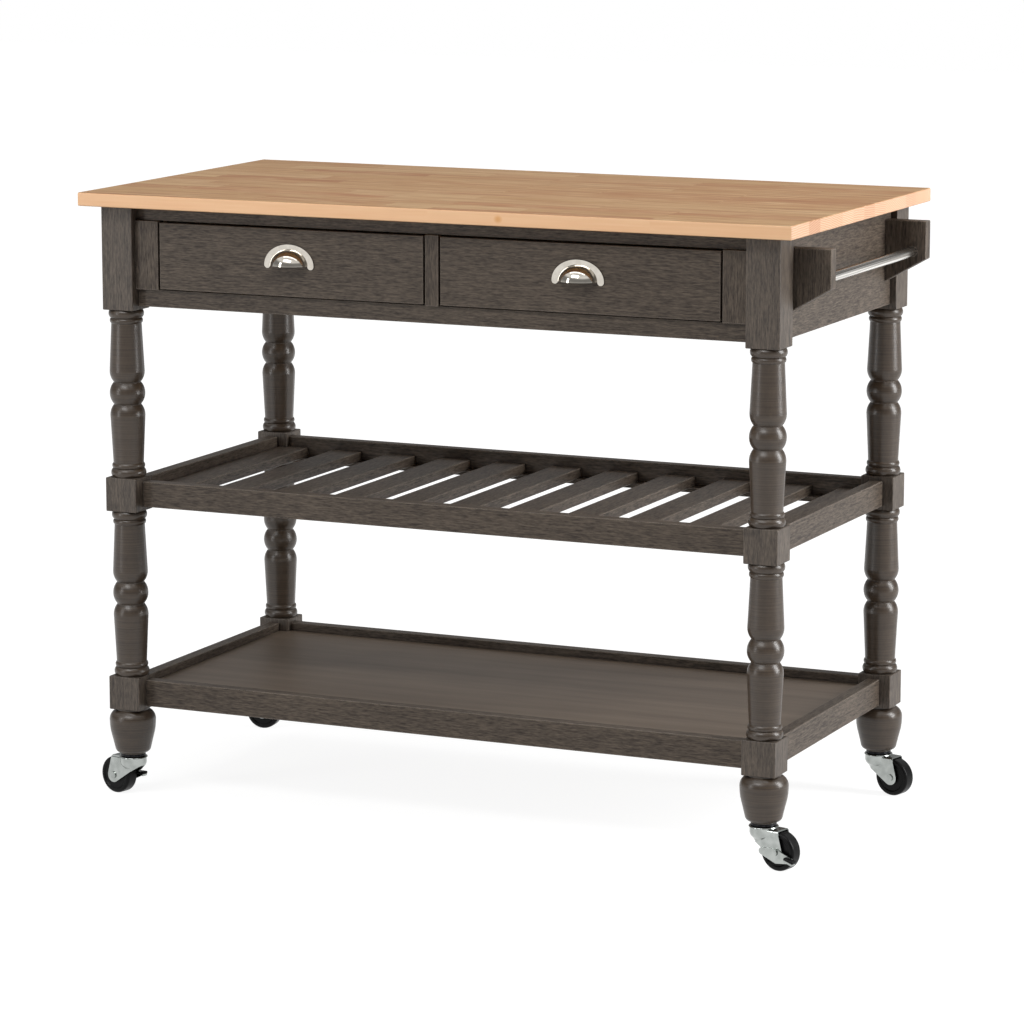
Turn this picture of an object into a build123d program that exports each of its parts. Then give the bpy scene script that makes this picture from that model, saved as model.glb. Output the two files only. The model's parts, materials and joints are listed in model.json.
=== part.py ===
from build123d import *
import os

# Butcher block kitchen cart. A glued hardwood top sits on a stained frame with four turned legs. Two
# drawers lie side by side under the top, a slatted shelf hangs between the leg blocks at mid height, a
# solid base shelf lies between the lowest blocks, and a towel bar is on the right end. The cart rolls on
# four swivel casters, of which the front two have a brake lever.
# Millimetres. +X is the right end with the towel bar, the drawers open towards -Y and +Z is up. The
# floor is at Z = 0, and the origin is the middle of the ground that the whole cart covers.

# Worktop
TOP_LENGTH = 1118.0
TOP_DEPTH = 584.0
TOP_THICK = 20.0
TOP_HEIGHT = 914.0
TOP_OVERHANG = 25.0
TOP_EASE = 2.0

# Legs, from the floor up: caster, foot, block, turning, block, turning, block up to the worktop
LEG_SIZE = 51.0
LEG_EASE = 1.5
BLOCK_HEIGHT = 51.0
TURNING_LENGTH = 251.0
BALL_R = 26.4
BALL_HALF = 16.2
GROOVE_R = 20.4
GROOVE_WIDTH = 0.8
SHOULDER_R = 26.1
SHOULDER_RISE = 16.0
NECK_R = 22.6
BEAD_R = 24.6
BEAD_HEIGHT = 8.0
BEAD_ROOT_R = 23.0
COLLAR_R = 26.3
COLLAR_HEIGHT = 13.0
COLLAR_ROOT_R = 23.8

# Bun foot under the lowest block
FOOT_HEIGHT = 70.0
FOOT_NECK_R = 24.5
FOOT_NECK_HEIGHT = 2.0
FOOT_R = 34.7
FOOT_CROWN_DROP = 17.4
FOOT_CROWN_MID_R = 32.7
FOOT_CROWN_MID_DROP = 7.3
FOOT_BEND_R = 31.8
FOOT_BEND_DROP = 21.6
FOOT_HEEL_R = 26.6
FOOT_HEEL_HEIGHT = 7.6
FOOT_HEEL_LEAN = 0.25
FOOT_SOLE_R = 18.5
FOOT_SOLE_HEIGHT = 2.0

# Joinery between the members and the legs
WOOD_EASE = 0.8
TENON_LENGTH = 12.0
TENON_SHOULDER = 5.0
JOINT_FIT = 0.15

# Aprons and the front of the drawer case
APRON_HEIGHT = 147.0
APRON_THICK = 19.0
APRON_SET = 10.0
FRONT_RAIL_SET = 18.0
FRONT_RAIL_THICK = 20.0
TOP_RAIL_HEIGHT = 21.0
BOTTOM_RAIL_HEIGHT = 26.0
BOTTOM_RAIL_DROP = 2.0
STILE_SET = 10.0
STILE_THICK = 19.0
END_STILE_WIDTH = 38.0
CENTRE_STILE_WIDTH = 21.0

# Drawers
DRAWER_GAP = 2.0
DRAWER_SIDE_GAP = 3.0
DRAWER_FRONT_THICK = 19.0
BOX_INSET = 2.0
BOX_DEPTH = 400.0
BOX_HEIGHT = 88.0
BOX_WALL = 12.0
BOTTOM_THICK = 5.0
BOTTOM_RISE = 8.0
GROOVE_DEPTH = 6.0
GROOVE_FIT = 0.15

# Drawer runners under the drawer sides, and kickers over them
RUN_GAP = 0.3
GUIDE_GAP = 1.5
RUNNER_THICK = 20.0
RUNNER_LEDGE = 14.0
GUIDE_WIDTH = 15.0
GUIDE_HEIGHT = 26.0

# Corner blocks and the screws that hold the worktop
CORNER_HEIGHT = 30.0
CORNER_GAP = 1.0
CORNER_RUN = 40.0
CORNER_STEP = 10.0
SCREW_R = 2.2
SCREW_HEAD_R = 4.2
SCREW_HEAD_THICK = 2.5
SCREW_BITE = 12.0
SCREW_INSET = 8.0
HOLE_FIT = 0.15

# Cup pulls
PULL_LENGTH = 80.0
PULL_RISE = 30.5
PULL_FLANGE = 1.8
PULL_EAR_R = 5.0
PULL_CUP_HALF = 30.0
PULL_DEPTH = 24.0
PULL_WALL = 1.6
PULL_AXIS_SET = 2.0
PULL_LIP_RISE = 45.5
PULL_POST_R = 3.6
PULL_POST_SPREAD = 20.0
PULL_POST_RISE = 6.0
PULL_SCREW_BITE = 6.0

# Towel bar on the right end
BRACKET_THICK = 19.0
BRACKET_REACH = 63.0
BRACKET_DROP = 19.0
BRACKET_EDGE = 55.5
BRACKET_BACK = 91.5
BRACKET_LEG_GAP = 6.0
ROD_R = 7.6
ROD_OUT = 42.0
ROD_DROP = 64.0
ROD_SOCKET = 8.0
ROD_FIT = 0.1

# Shelf between the middle blocks, and base shelf between the lowest blocks
SHELF_RAIL_HEIGHT = 38.0
SHELF_RAIL_THICK = 19.0
SHELF_END_SET = 16.5
SHELF_FRONT_SET = 22.0
BASE_RAIL_HEIGHT = 40.0
BASE_RAIL_RISE = 4.5
SLAT_COUNT = 11
SLAT_END_GAP = 2.0
SLAT_WIDTH = 48.0
SLAT_THICK = 15.0
SLAT_DROP = 15.5
SLAT_GAP = 0.5
LEDGE_WIDTH = 20.0
LEDGE_HEIGHT = 7.0
PANEL_THICK = 12.0
PANEL_DROP = 12.5
PANEL_GAP = 0.5

# Casters
CASTER_HEIGHT = 65.0
WHEEL_R = 28.0
WHEEL_WIDTH = 21.0
WHEEL_ROUND = 4.0
WHEEL_DISH_R = 20.3
WHEEL_DISH = 1.6
WHEEL_HUB_R = 8.0
TRAIL = 30.0
YOKE_GAP = 1.0
YOKE_SHEET = 1.8
YOKE_CLEAR = 1.2
YOKE_FRONT = 5.0
YOKE_REAR = 33.0
YOKE_EYE_R = 11.0
YOKE_BEND_R = 3.5
CROWN_R = 20.0
CUP_BEND = 52.0
CUP_LOW = 36.0
CUP_LOW_R = 12.7
SKIRT_LOW = 48.0
RACE_R = 21.5
RACE_TOP_R = 19.5
RACE_BULGE = 0.3
WASHER_R = 18.5
WASHER_THICK = 4.0
WASHER_ROUND = 0.8
STEM_R = 5.0
STEM_LENGTH = 30.0
KINGPIN_R = 4.0
KINGPIN_HEAD_R = 7.0
KINGPIN_HEAD_THICK = 2.0
AXLE_R = 3.0
AXLE_HEAD_R = 5.2
AXLE_HEAD_THICK = 1.8
SPIN_GAP = 0.3
RUN_FIT = 0.05

# Which way each caster points: the turn of its wheel about the stem, in degrees from +X
CASTER_TURNS = {"front_left": 166.0, "front_right": -15.0, "back_left": 185.0, "back_right": -15.0}

# Brake lever on the axle of a front caster: the right one is pressed down, the left one is up. Its
# plate is drawn round four circles, given as X and Z from the axle and radius: eye, lobe, tail, tip.
LEVER_SHEET = 2.0
LEVER_REACH = 29.0
LEVER_ROUNDS = ((0.5, -2.0, 7.5), (5.1, -6.9, 7.2), (-20.9, -7.0, 5.0), (LEVER_REACH, 0.0, 4.0))
LEVER_UP = -2.0
LEVER_DOWN = 16.0
PEDAL_LENGTH = 16.0
PEDAL_WIDTH = 9.0
PEDAL_THICK = 7.0
PEDAL_ROUND = 2.0

# Places that follow from the sizes above
LEG_TOP = TOP_HEIGHT - TOP_THICK
FACE_X = TOP_LENGTH / 2 - TOP_OVERHANG
FACE_Y = TOP_DEPTH / 2 - TOP_OVERHANG
LEG_X = FACE_X - LEG_SIZE / 2
LEG_Y = FACE_Y - LEG_SIZE / 2
LEG_IN_X = FACE_X - LEG_SIZE
LEG_IN_Y = FACE_Y - LEG_SIZE
LOW_BLOCK = CASTER_HEIGHT + FOOT_HEIGHT
LOW_TURNING = LOW_BLOCK + BLOCK_HEIGHT
MID_BLOCK = LOW_TURNING + TURNING_LENGTH
HIGH_TURNING = MID_BLOCK + BLOCK_HEIGHT
HIGH_BLOCK = HIGH_TURNING + TURNING_LENGTH
APRON_LOW = LEG_TOP - APRON_HEIGHT
BOTTOM_RAIL_LOW = APRON_LOW - BOTTOM_RAIL_DROP
OPENING_LOW = BOTTOM_RAIL_LOW + BOTTOM_RAIL_HEIGHT
OPENING_TOP = LEG_TOP - TOP_RAIL_HEIGHT
OPENING_IN = CENTRE_STILE_WIDTH / 2
OPENING_OUT = LEG_IN_X - END_STILE_WIDTH
STILE_FACE_Y = -(FACE_Y - STILE_SET)
FRONT_RAIL_BACK_Y = -(FACE_Y - FRONT_RAIL_SET - FRONT_RAIL_THICK)
APRON_IN_X = FACE_X - APRON_SET - APRON_THICK
APRON_IN_Y = FACE_Y - APRON_SET - APRON_THICK
SHELF_LOW = MID_BLOCK + (BLOCK_HEIGHT - SHELF_RAIL_HEIGHT) / 2
SHELF_TOP = SHELF_LOW + SHELF_RAIL_HEIGHT
BASE_LOW = LOW_BLOCK + BASE_RAIL_RISE
BASE_TOP = BASE_LOW + BASE_RAIL_HEIGHT
SHELF_IN_X = FACE_X - SHELF_END_SET - SHELF_RAIL_THICK
SHELF_IN_Y = FACE_Y - SHELF_FRONT_SET - SHELF_RAIL_THICK
SLAT_PITCH = (2 * (SHELF_IN_X - SLAT_END_GAP) - SLAT_WIDTH) / (SLAT_COUNT - 1)

# Drawer box, worked out for the right drawer
BOX_IN = OPENING_IN + DRAWER_SIDE_GAP + BOX_INSET
BOX_OUT = OPENING_OUT - DRAWER_SIDE_GAP - BOX_INSET
BOX_LOW = OPENING_LOW + DRAWER_GAP
BOX_TOP = BOX_LOW + BOX_HEIGHT
BOX_FRONT_Y = STILE_FACE_Y + DRAWER_FRONT_THICK
BOX_BACK_Y = BOX_FRONT_Y + BOX_DEPTH
PULL_X = (OPENING_IN + OPENING_OUT) / 2
PULL_Z = BOX_LOW + PULL_LIP_RISE
RUNNER_TOP = BOX_LOW - RUN_GAP

# Casters and towel bar
CROWN_TOP = CASTER_HEIGHT - WASHER_THICK - SPIN_GAP
CROWN_LOW = 2 * WHEEL_R + YOKE_CLEAR
YOKE_IN = WHEEL_WIDTH / 2 + YOKE_GAP
YOKE_OUT = YOKE_IN + YOKE_SHEET
ROD_X = FACE_X - APRON_SET + ROD_OUT
BRACKET_TOP = LEG_TOP - BRACKET_DROP
ROD_Z = LEG_TOP - ROD_DROP
BRACKET_OUT_Y = LEG_IN_Y - BRACKET_LEG_GAP

CORNERS = {"front_left": (-1, -1), "front_right": (1, -1), "back_left": (-1, 1), "back_right": (1, 1)}

# Members between the legs: side, set-back behind the legs' faces, bottom, top and thickness
MEMBERS = {
    "front_top_rail": ("front", FRONT_RAIL_SET, OPENING_TOP, LEG_TOP, FRONT_RAIL_THICK),
    "front_bottom_rail": ("front", FRONT_RAIL_SET, BOTTOM_RAIL_LOW, OPENING_LOW, FRONT_RAIL_THICK),
    "back_apron": ("back", APRON_SET, APRON_LOW, LEG_TOP, APRON_THICK),
    "left_apron": ("left", APRON_SET, APRON_LOW, LEG_TOP, APRON_THICK),
    "right_apron": ("right", APRON_SET, APRON_LOW, LEG_TOP, APRON_THICK),
}
for level, bottom, top in (("shelf", SHELF_LOW, SHELF_TOP), ("base", BASE_LOW, BASE_TOP)):
    for side in ("front", "back", "left", "right"):
        set_back = SHELF_FRONT_SET if side in ("front", "back") else SHELF_END_SET
        MEMBERS[f"{level}_{side}_rail"] = (side, set_back, bottom, top, SHELF_RAIL_THICK)


def slab(x, y, z):
    """A block between a low and a high value along X, Y and Z."""
    size = [high - low for low, high in (x, y, z)]
    middle = [(high + low) / 2 for low, high in (x, y, z)]
    return Pos(*middle) * Box(*size)


def eased(part, ease=WOOD_EASE):
    """Break every edge of a plain block, as sanding does."""
    return chamfer(part.edges(), ease)


def turned(outline):
    """A solid of revolution about Z from an outline given as radius and height."""
    return revolve(Plane.XZ * make_face(outline), Axis.Z)


def upright_rod(radius, low, high):
    """A cylinder about Z from one height to another."""
    return Pos(0, 0, (low + high) / 2) * Cylinder(radius, high - low)


def cross_rod(radius, low, high):
    """A cylinder about Y from one place to another."""
    return Pos(0, (low + high) / 2, 0) * Rot(90, 0, 0) * Cylinder(radius, high - low)


def member(name, reach=0.0, trim=0.0):
    """The block of a member between the legs, longer by reach at each end and thinner by trim all round."""
    side, set_back, low, high, thick = MEMBERS[name]
    sign = -1 if side in ("front", "left") else 1
    along_x = side in ("front", "back")
    outside = (FACE_Y if along_x else FACE_X) - set_back
    across = sorted((sign * (outside - trim), sign * (outside - thick + trim)))
    half = (LEG_IN_X if along_x else LEG_IN_Y) + reach
    upright = (low + trim, high - trim)
    if along_x:
        return slab((-half, half), across, upright)
    return slab(across, (-half, half), upright)


def rail(name):
    """A rail or apron with a stub tenon at each end."""
    return eased(member(name)) + member(name, reach=TENON_LENGTH, trim=TENON_SHOULDER)


def turning_half():
    """Half of a leg's turning, from the middle of its ball up to the square block."""
    end = TURNING_LENGTH / 2
    collar = end - COLLAR_HEIGHT
    bead = collar - BEAD_HEIGHT
    groove = BALL_HALF + GROOVE_WIDTH
    shoulder = groove + SHOULDER_RISE
    return turned([
        Line((0, 0), (BALL_R, 0)),
        TangentArc((BALL_R, 0), (GROOVE_R, BALL_HALF), tangent=(0, 1)),
        Line((GROOVE_R, BALL_HALF), (GROOVE_R, groove)),
        TangentArc((SHOULDER_R, shoulder), (GROOVE_R, groove), tangent=(0, -1)),
        Line((SHOULDER_R, shoulder), (NECK_R, bead)),
        ThreePointArc((NECK_R, bead), (BEAD_R, bead + BEAD_HEIGHT / 2), (BEAD_ROOT_R, collar)),
        ThreePointArc((BEAD_ROOT_R, collar), (COLLAR_R, collar + COLLAR_HEIGHT / 2), (COLLAR_ROOT_R, end)),
        Polyline((COLLAR_ROOT_R, end), (0, end), (0, 0)),
    ])


def bun_foot():
    """The turned foot, standing on its sole at Z = 0."""
    neck = FOOT_HEIGHT - FOOT_NECK_HEIGHT
    widest = neck - FOOT_CROWN_DROP
    bend = widest - FOOT_BEND_DROP
    crown = (FOOT_CROWN_MID_R, neck - FOOT_CROWN_MID_DROP)
    heel = (FOOT_HEEL_R, FOOT_HEEL_HEIGHT)
    sole = (FOOT_SOLE_R, FOOT_SOLE_HEIGHT)
    return turned([
        Polyline((0, 0), (FOOT_SOLE_R, 0), sole),
        TangentArc(heel, sole, tangent=(-FOOT_HEEL_LEAN, -1)),
        Line(heel, (FOOT_BEND_R, bend)),
        TangentArc((FOOT_R, widest), (FOOT_BEND_R, bend), tangent=(0, -1)),
        ThreePointArc((FOOT_R, widest), crown, (FOOT_NECK_R, neck)),
        Polyline((FOOT_NECK_R, neck), (FOOT_NECK_R, FOOT_HEIGHT), (0, FOOT_HEIGHT), (0, 0)),
    ])


def leg_blank():
    """A whole leg about Z, before its mortises are cut."""
    half = turning_half()
    spindle = half + mirror(half, about=Plane.XY)
    blank = Pos(0, 0, CASTER_HEIGHT) * bun_foot()
    for low, high in ((LOW_BLOCK, LOW_TURNING), (MID_BLOCK, HIGH_TURNING), (HIGH_BLOCK, LEG_TOP)):
        block = upright_block(LEG_SIZE, low, high)
        blank += fillet(block.edges(), LEG_EASE)
    for low in (LOW_TURNING, HIGH_TURNING):
        blank += Pos(0, 0, low + TURNING_LENGTH / 2) * spindle
    return blank - upright_rod(STEM_R + JOINT_FIT, CASTER_HEIGHT, CASTER_HEIGHT + STEM_LENGTH + 1)


def upright_block(size, low, high):
    """A square post about Z from one height to another."""
    return Pos(0, 0, (low + high) / 2) * Box(size, size, high - low)


def legs():
    """The four legs, each with the mortises of the members that meet it."""
    blank = leg_blank()
    made = {}
    for corner, (right, back) in CORNERS.items():
        sides = ("right" if right > 0 else "left", "back" if back > 0 else "front")
        leg = Pos(right * LEG_X, back * LEG_Y, 0) * blank
        for name, spec in MEMBERS.items():
            if spec[0] in sides:
                leg -= member(name, reach=TENON_LENGTH + JOINT_FIT, trim=TENON_SHOULDER - JOINT_FIT)
        made[f"leg_{corner}"] = leg
    return made


def screw(shank_r, head_r, head_thick, length):
    """A screw pointing up from Z = 0, with its head below."""
    return upright_rod(shank_r, 0, length) + upright_rod(head_r, -head_thick, 0)


def corner_places():
    """Where each worktop screw goes up through its corner block, with the signs of its corner."""
    x = LEG_IN_X + SCREW_INSET
    y = LEG_IN_Y - SCREW_INSET
    return [(right * x, back * y, right, back) for right, back in CORNERS.values()]


def corner_blocks():
    """Glue blocks that fill the corners between the legs, the aprons and the front rail."""
    near = BOX_OUT + GUIDE_GAP + GUIDE_WIDTH + CORNER_GAP
    blocks = []
    for right, back in CORNERS.values():
        wall_y = APRON_IN_Y if back > 0 else -FRONT_RAIL_BACK_Y
        outline = Polyline((near, wall_y), (LEG_IN_X, wall_y), (LEG_IN_X, LEG_IN_Y), (APRON_IN_X, LEG_IN_Y),
                           (APRON_IN_X, LEG_IN_Y - CORNER_RUN), (near, LEG_IN_Y - CORNER_STEP), close=True)
        block = Pos(0, 0, LEG_TOP - CORNER_HEIGHT) * extrude(make_face(outline), CORNER_HEIGHT)
        if right < 0:
            block = mirror(block, about=Plane.YZ)
        if back < 0:
            block = mirror(block, about=Plane.XZ)
        blocks.append(block)
    holes = [Pos(x, y, 0) * upright_rod(SCREW_R + HOLE_FIT, LEG_TOP - CORNER_HEIGHT, LEG_TOP)
             for x, y, _, _ in corner_places()]
    return [block - hole for block, hole in zip(blocks, holes)]


def top_screws():
    """The screws that hold the worktop down through the corner blocks."""
    one = screw(SCREW_R, SCREW_HEAD_R, SCREW_HEAD_THICK, CORNER_HEIGHT + SCREW_BITE)
    return [Pos(x, y, LEG_TOP - CORNER_HEIGHT) * one for x, y, _, _ in corner_places()]


def worktop():
    """The butcher block, with pilot holes for its screws."""
    half_x = TOP_LENGTH / 2
    half_y = TOP_DEPTH / 2
    top = fillet(slab((-half_x, half_x), (-half_y, half_y), (LEG_TOP, TOP_HEIGHT)).edges(), TOP_EASE)
    for x, y, _, _ in corner_places():
        top -= Pos(x, y, 0) * upright_rod(SCREW_R + HOLE_FIT, LEG_TOP, LEG_TOP + SCREW_BITE + 1)
    return top


def stile(low_x, high_x):
    """An upright of the drawer case's front, between the front rails and proud of them."""
    y = (STILE_FACE_Y, STILE_FACE_Y + STILE_THICK)
    return eased(slab((low_x, high_x), y, (OPENING_LOW, OPENING_TOP)))


def drawer_runners():
    """The strips that the drawer sides run on: an L at each end and a T between the drawers."""
    y = (FRONT_RAIL_BACK_Y, APRON_IN_Y)
    base_z = (RUNNER_TOP - RUNNER_THICK, RUNNER_TOP)
    guide_z = (RUNNER_TOP - RUNNER_THICK, RUNNER_TOP + GUIDE_HEIGHT)
    guide_x = BOX_OUT + GUIDE_GAP
    centre_half = BOX_IN - GUIDE_GAP
    right = slab((guide_x - RUNNER_LEDGE, guide_x + GUIDE_WIDTH), y, base_z)
    right += slab((guide_x, guide_x + GUIDE_WIDTH), y, guide_z)
    centre = slab((-centre_half - RUNNER_LEDGE, centre_half + RUNNER_LEDGE), y, base_z)
    centre += slab((-centre_half, centre_half), y, guide_z)
    return [mirror(right, about=Plane.YZ), centre, right]


def drawer_kickers():
    """The strips over the drawer sides that keep an open drawer from tipping."""
    y = (FRONT_RAIL_BACK_Y, APRON_IN_Y)
    z = (OPENING_TOP, LEG_TOP)
    outer = BOX_OUT + GUIDE_GAP
    half = BOX_IN - GUIDE_GAP + RUNNER_LEDGE
    right = slab((outer - RUNNER_LEDGE, outer + GUIDE_WIDTH), y, z)
    return [mirror(right, about=Plane.YZ), slab((-half, half), y, z), right]


def quarter_dome(half_length, radius):
    """A quarter of a long rounded dome that bulges towards -Y and up, with its flat sides down and back."""
    reach = radius + PULL_AXIS_SET
    depth = reach - PULL_AXIS_SET / 2
    half_ellipse = Ellipse(half_length, reach) & Pos(0, depth / 2 - reach) * Rectangle(2 * half_length, depth)
    axis = Axis((0, PULL_AXIS_SET, -PULL_AXIS_SET), (-1, 0, 0))
    bulge = revolve(Pos(0, PULL_AXIS_SET, -PULL_AXIS_SET) * half_ellipse, axis, 90)
    return bulge & Pos(0, -reach / 2, reach / 2) * Box(2 * half_length, reach, reach)


def cup_pull():
    """A cup pull on the plane Y = 0 with the lip of its cup at Z = 0, bulging towards -Y."""
    outer = quarter_dome(PULL_CUP_HALF, PULL_DEPTH)
    inner = quarter_dome(PULL_CUP_HALF - PULL_WALL, PULL_DEPTH - PULL_WALL)
    half = PULL_LENGTH / 2
    outline = Ellipse(half, PULL_RISE) & Pos(0, PULL_RISE / 2) * Rectangle(PULL_LENGTH, PULL_RISE)
    for side in (-1, 1):
        outline += Pos(side * (half - PULL_EAR_R), 0) * Circle(PULL_EAR_R)
    outline -= Ellipse(PULL_CUP_HALF - PULL_WALL / 2, PULL_DEPTH - PULL_WALL / 2)
    pull = extrude(Plane.XZ * outline, PULL_FLANGE) + (outer - inner)
    for side in (-1, 1):
        place = Pos(side * PULL_POST_SPREAD, 0, PULL_POST_RISE)
        post = place * cross_rod(PULL_POST_R, -PULL_DEPTH, 0)
        pull += post & outer
        pull -= place * cross_rod(SCREW_R + HOLE_FIT, -PULL_SCREW_BITE - 1, 0)
    return pull


def drawer():
    """The pieces of the right drawer, apart from its pull."""
    inside = (BOX_IN + BOX_WALL, BOX_OUT - BOX_WALL)
    bottom_z = BOX_LOW + BOTTOM_RISE
    groove_z = (bottom_z - GROOVE_FIT, bottom_z + BOTTOM_THICK + GROOVE_FIT)
    groove = slab((inside[0] - GROOVE_DEPTH - GROOVE_FIT, inside[1] + GROOVE_DEPTH + GROOVE_FIT),
                  (BOX_FRONT_Y - GROOVE_DEPTH - GROOVE_FIT, BOX_BACK_Y + 1), groove_z)
    front = eased(slab((OPENING_IN + DRAWER_SIDE_GAP, OPENING_OUT - DRAWER_SIDE_GAP),
                       (STILE_FACE_Y, BOX_FRONT_Y), (OPENING_LOW + DRAWER_GAP, OPENING_TOP - DRAWER_GAP)))
    screws = []
    for side in (-1, 1):
        axis = Pos(PULL_X + side * PULL_POST_SPREAD, 0, PULL_Z + PULL_POST_RISE)
        front -= axis * cross_rod(SCREW_R + HOLE_FIT, STILE_FACE_Y, BOX_FRONT_Y)
        length = DRAWER_FRONT_THICK + PULL_SCREW_BITE
        pull_screw = screw(SCREW_R, SCREW_HEAD_R, SCREW_HEAD_THICK, length)
        screws.append(axis * Pos(0, BOX_FRONT_Y, 0) * Rot(90, 0, 0) * pull_screw)
    y = (BOX_FRONT_Y, BOX_BACK_Y)
    z = (BOX_LOW, BOX_TOP)
    sides = [slab((BOX_IN, inside[0]), y, z) - groove, slab((inside[1], BOX_OUT), y, z) - groove]
    back = slab(inside, (BOX_BACK_Y - BOX_WALL, BOX_BACK_Y), (bottom_z + BOTTOM_THICK + GROOVE_FIT, BOX_TOP))
    bottom = slab((inside[0] - GROOVE_DEPTH, inside[1] + GROOVE_DEPTH),
                  (BOX_FRONT_Y - GROOVE_DEPTH, BOX_BACK_Y), (bottom_z, bottom_z + BOTTOM_THICK))
    return {"front": front - groove, "sides": sides, "back": back, "bottom": bottom, "pull_screws": screws}


def drawers():
    """Both drawers: the left box is the right one's mirror image, and the pulls are alike."""
    made = {}
    for name, piece in drawer().items():
        pieces = piece if isinstance(piece, list) else [piece]
        made[f"right_drawer_{name}"] = pieces
        made[f"left_drawer_{name}"] = [mirror(one, about=Plane.YZ) for one in pieces]
    for side, x in (("left", -PULL_X), ("right", PULL_X)):
        made[f"{side}_drawer_pull"] = Pos(x, STILE_FACE_Y, PULL_Z) * cup_pull()
    return made


def towel_bracket(back):
    """One bracket board of the towel bar, with the blind socket for the rod in its inner face."""
    wall_x = FACE_X - APRON_SET
    end_x = wall_x + BRACKET_REACH
    outline = Polyline((wall_x, BRACKET_TOP), (end_x, BRACKET_TOP), (end_x, BRACKET_TOP - BRACKET_EDGE),
                       (wall_x, BRACKET_TOP - BRACKET_BACK), close=True)
    board = extrude(Plane.XZ * make_face(outline), BRACKET_THICK)
    board = Pos(0, BRACKET_OUT_Y, 0) * eased(board)
    inner_y = BRACKET_OUT_Y - BRACKET_THICK
    board -= Pos(ROD_X, 0, ROD_Z) * cross_rod(ROD_R + ROD_FIT, inner_y, inner_y + ROD_SOCKET + ROD_FIT)
    return board if back else mirror(board, about=Plane.XZ)


def towel_rod():
    """The round bar between the brackets."""
    end = BRACKET_OUT_Y - BRACKET_THICK + ROD_SOCKET
    return Pos(ROD_X, 0, ROD_Z) * cross_rod(ROD_R, -end, end)


def leg_room(gap):
    """Square posts round the four legs' blocks, grown by a gap, to notch what reaches between them."""
    post = upright_block(LEG_SIZE + 2 * gap, CASTER_HEIGHT, LEG_TOP)
    return [Pos(right * LEG_X, back * LEG_Y, 0) * post for right, back in CORNERS.values()]


def shelf_slats():
    """The slats of the shelf, laid from front to back on the ledges."""
    top = SHELF_TOP - SLAT_DROP
    depth = SHELF_IN_Y - SLAT_GAP
    slats = []
    for index in range(SLAT_COUNT):
        x = (index - (SLAT_COUNT - 1) / 2) * SLAT_PITCH
        slat = eased(slab((x - SLAT_WIDTH / 2, x + SLAT_WIDTH / 2), (-depth, depth), (top - SLAT_THICK, top)))
        if abs(x) + SLAT_WIDTH / 2 > LEG_IN_X - SLAT_GAP:
            slat -= leg_room(SLAT_GAP)
        slats.append(slat)
    return slats


def base_panel():
    """The solid board of the base shelf, notched round the legs."""
    top = BASE_TOP - PANEL_DROP
    half_x = SHELF_IN_X - PANEL_GAP
    half_y = SHELF_IN_Y - PANEL_GAP
    panel = slab((-half_x, half_x), (-half_y, half_y), (top - PANEL_THICK, top))
    return panel - leg_room(PANEL_GAP)


def shelf_ledges():
    """The strips along the front and back rails that carry the slats and the base board."""
    slat_low = SHELF_TOP - SLAT_DROP - SLAT_THICK
    panel_low = BASE_TOP - PANEL_DROP - PANEL_THICK
    ledges = []
    for top in (slat_low, panel_low):
        back = slab((-LEG_IN_X, LEG_IN_X), (SHELF_IN_Y - LEDGE_WIDTH, SHELF_IN_Y), (top - LEDGE_HEIGHT, top))
        ledges += [back, mirror(back, about=Plane.XZ)]
    return ledges


def caster_stem():
    """The part of a caster that stays with the leg: stem, washer and kingpin with its head."""
    washer_low = CASTER_HEIGHT - WASHER_THICK
    head_top = CROWN_LOW - SPIN_GAP
    stem = upright_rod(STEM_R, CASTER_HEIGHT, CASTER_HEIGHT + STEM_LENGTH)
    stem += fillet(upright_rod(WASHER_R, washer_low, CASTER_HEIGHT).edges(), WASHER_ROUND)
    stem += upright_rod(KINGPIN_R, head_top - KINGPIN_HEAD_THICK, washer_low)
    return stem + upright_rod(KINGPIN_HEAD_R, head_top - KINGPIN_HEAD_THICK, head_top)


def crown_cup(wall, top):
    """The round cup under the fork's crown, which narrows to the fork's width, less a wall all round."""
    low_r = CUP_LOW_R - wall
    high_r = CROWN_R - wall
    middle = ((low_r + high_r) / 2, (CUP_LOW + CUP_BEND) / 2)
    return turned([
        Line((0, CUP_LOW), (low_r, CUP_LOW)),
        TangentArc((low_r, CUP_LOW), middle, tangent=(0, 1)),
        TangentArc((high_r, CUP_BEND), middle, tangent=(0, -1)),
        Polyline((high_r, CUP_BEND), (high_r, top), (0, top), (0, CUP_LOW)),
    ])


def yoke_outline(crown_top):
    """The fork seen from its side: from the crown it narrows down to the eyes round the axle."""
    eye = Pos(TRAIL, WHEEL_R) * Circle(YOKE_EYE_R)
    front = Line((-CROWN_R, SKIRT_LOW), (-CROWN_R, crown_top))
    return make_hull([*eye.edges(), front, Line((-CROWN_R, crown_top), (YOKE_REAR, crown_top))])


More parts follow.
